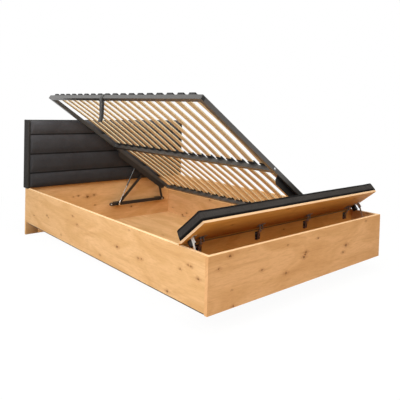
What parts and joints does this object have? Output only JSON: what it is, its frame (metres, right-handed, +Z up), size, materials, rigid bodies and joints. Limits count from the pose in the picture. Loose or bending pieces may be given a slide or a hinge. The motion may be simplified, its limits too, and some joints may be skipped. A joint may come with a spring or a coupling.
{
  "type": "storage bed",
  "caption": "Oak-look storage bed with a dark upholstered headboard, a slat base that lifts sideways on a gas-strut linkage, and a padded bench lid over a box at the foot.",
  "frame": {"origin": "on the floor, under the middle of the bed's outline", "axes": "X across the bed towards the hinge side of the slat base, Y from the foot to the headboard, Z up"},
  "size_m": [1.65, 2.35, 1.2136],
  "materials": {
    "oak_board": "satin laminate",
    "birch_slat": "satin",
    "dark_upholstery": "woven",
    "webbing": "woven",
    "dark_steel": "powder coat",
    "bright_steel": "bright zinc",
    "black_plastic": "moulded"
  },
  "bodies": {
    "case": {"head_panel": "oak_board", "left_side_panel": "oak_board", "right_side_panel": "oak_board", "foot_panel": "oak_board", "divider_panel": "oak_board", "box_left_wall": "oak_board", "box_right_wall": "oak_board", "storage_floor_foot": "oak_board", "storage_floor_head": "oak_board", "floor_strip": "black_plastic", "floor_glides": "black_plastic", "bench_floor": "oak_board", "bench_cleats": "oak_board", "corner_blocks": "oak_board", "rest_blocks": "oak_board", "headboard_core": "dark_upholstery", "headboard_cushion": "dark_upholstery", "base_bar_head": "dark_steel", "base_bar_foot": "dark_steel", "bar_spacers": "black_plastic", "bar_bolts": "bright_steel", "arm_pins": "bright_steel", "link_pins": "bright_steel", "hinge_arms": "bright_steel", "stay_plates": "dark_steel"},
    "lift_arms": {"lift_arm_head": "dark_steel", "lift_arm_foot": "dark_steel"},
    "slat_base": {"left_rail": "dark_steel", "middle_rail": "dark_steel", "right_rail": "dark_steel", "head_rail": "dark_steel", "foot_rail": "dark_steel", "slats_left": "birch_slat", "slats_right": "birch_slat", "holders_left": "black_plastic", "holders_middle": "black_plastic", "holders_right": "black_plastic", "lift_plate_head": "dark_steel", "lift_plate_foot": "dark_steel", "arm_studs": "bright_steel", "link_and_strut_studs": "bright_steel", "pull_strap": "webbing"},
    "short_links": {"short_link_head": "dark_steel", "short_link_foot": "dark_steel"},
    "strut_rods": {"strut_rod_head": "bright_steel", "strut_rod_foot": "bright_steel"},
    "strut_cylinders": {"strut_cylinder_head": "dark_steel", "strut_cylinder_foot": "dark_steel"},
    "lid": {"lid_board": "oak_board", "bench_pad": "dark_upholstery", "hinge_cups": "bright_steel", "stay_brackets": "dark_steel"},
    "stay_arms": {"stay_arm_left": "bright_steel", "stay_arm_right": "bright_steel"}
  },
  "joints": [
    {"name": "lift_arm_hinge", "type": "hinge", "parent": "case", "child": "lift_arms", "pos_m": [0.05718, 0, 0.176], "axis": [0, -1, 0], "range_deg": [-30.39, 0]},
    {"name": "slat_base_lift", "type": "hinge", "parent": "lift_arms", "child": "slat_base", "pos_m": [0.33992, 0, 0.45067], "axis": [0, 1, 0], "range_deg": [-64.97, 0]},
    {"name": "short_link_hinge", "type": "hinge", "parent": "case", "child": "short_links", "pos_m": [0.58022, 0, 0.176], "axis": [0, -1, 0], "range_deg": [-60.42, 0]},
    {"name": "strut_hinge", "type": "hinge", "parent": "case", "child": "strut_rods", "pos_m": [0.05718, 0, 0.176], "axis": [0, -1, 0], "range_deg": [-40.69, 0]},
    {"name": "strut_slide", "type": "slide", "parent": "strut_rods", "child": "strut_cylinders", "axis": [0.4533, 0, 0.8914], "range_m": [-0.12685, 0]},
    {"name": "lid_hinge", "type": "hinge", "parent": "case", "child": "lid", "pos_m": [0, -0.9346, 0.4274], "axis": [-1, 0, 0], "range_deg": [-39.1, 0]},
    {"name": "stay_hinge", "type": "hinge", "parent": "lid", "child": "stay_arms", "pos_m": [0, -1.02534, 0.44006], "axis": [1, 0, 0], "range_deg": [-69.82, 0]}
  ],
  "couplings": [
    {"joint": "lift_arm_hinge", "follows": "slat_base_lift", "ratio": 0.46749},
    {"joint": "short_link_hinge", "follows": "slat_base_lift", "ratio": 0.92978},
    {"joint": "strut_hinge", "follows": "slat_base_lift", "ratio": 0.62615},
    {"joint": "strut_slide", "follows": "slat_base_lift", "m_per_rad": 0.11184},
    {"joint": "stay_hinge", "follows": "lid_hinge", "ratio": 1.7855}
  ]
}
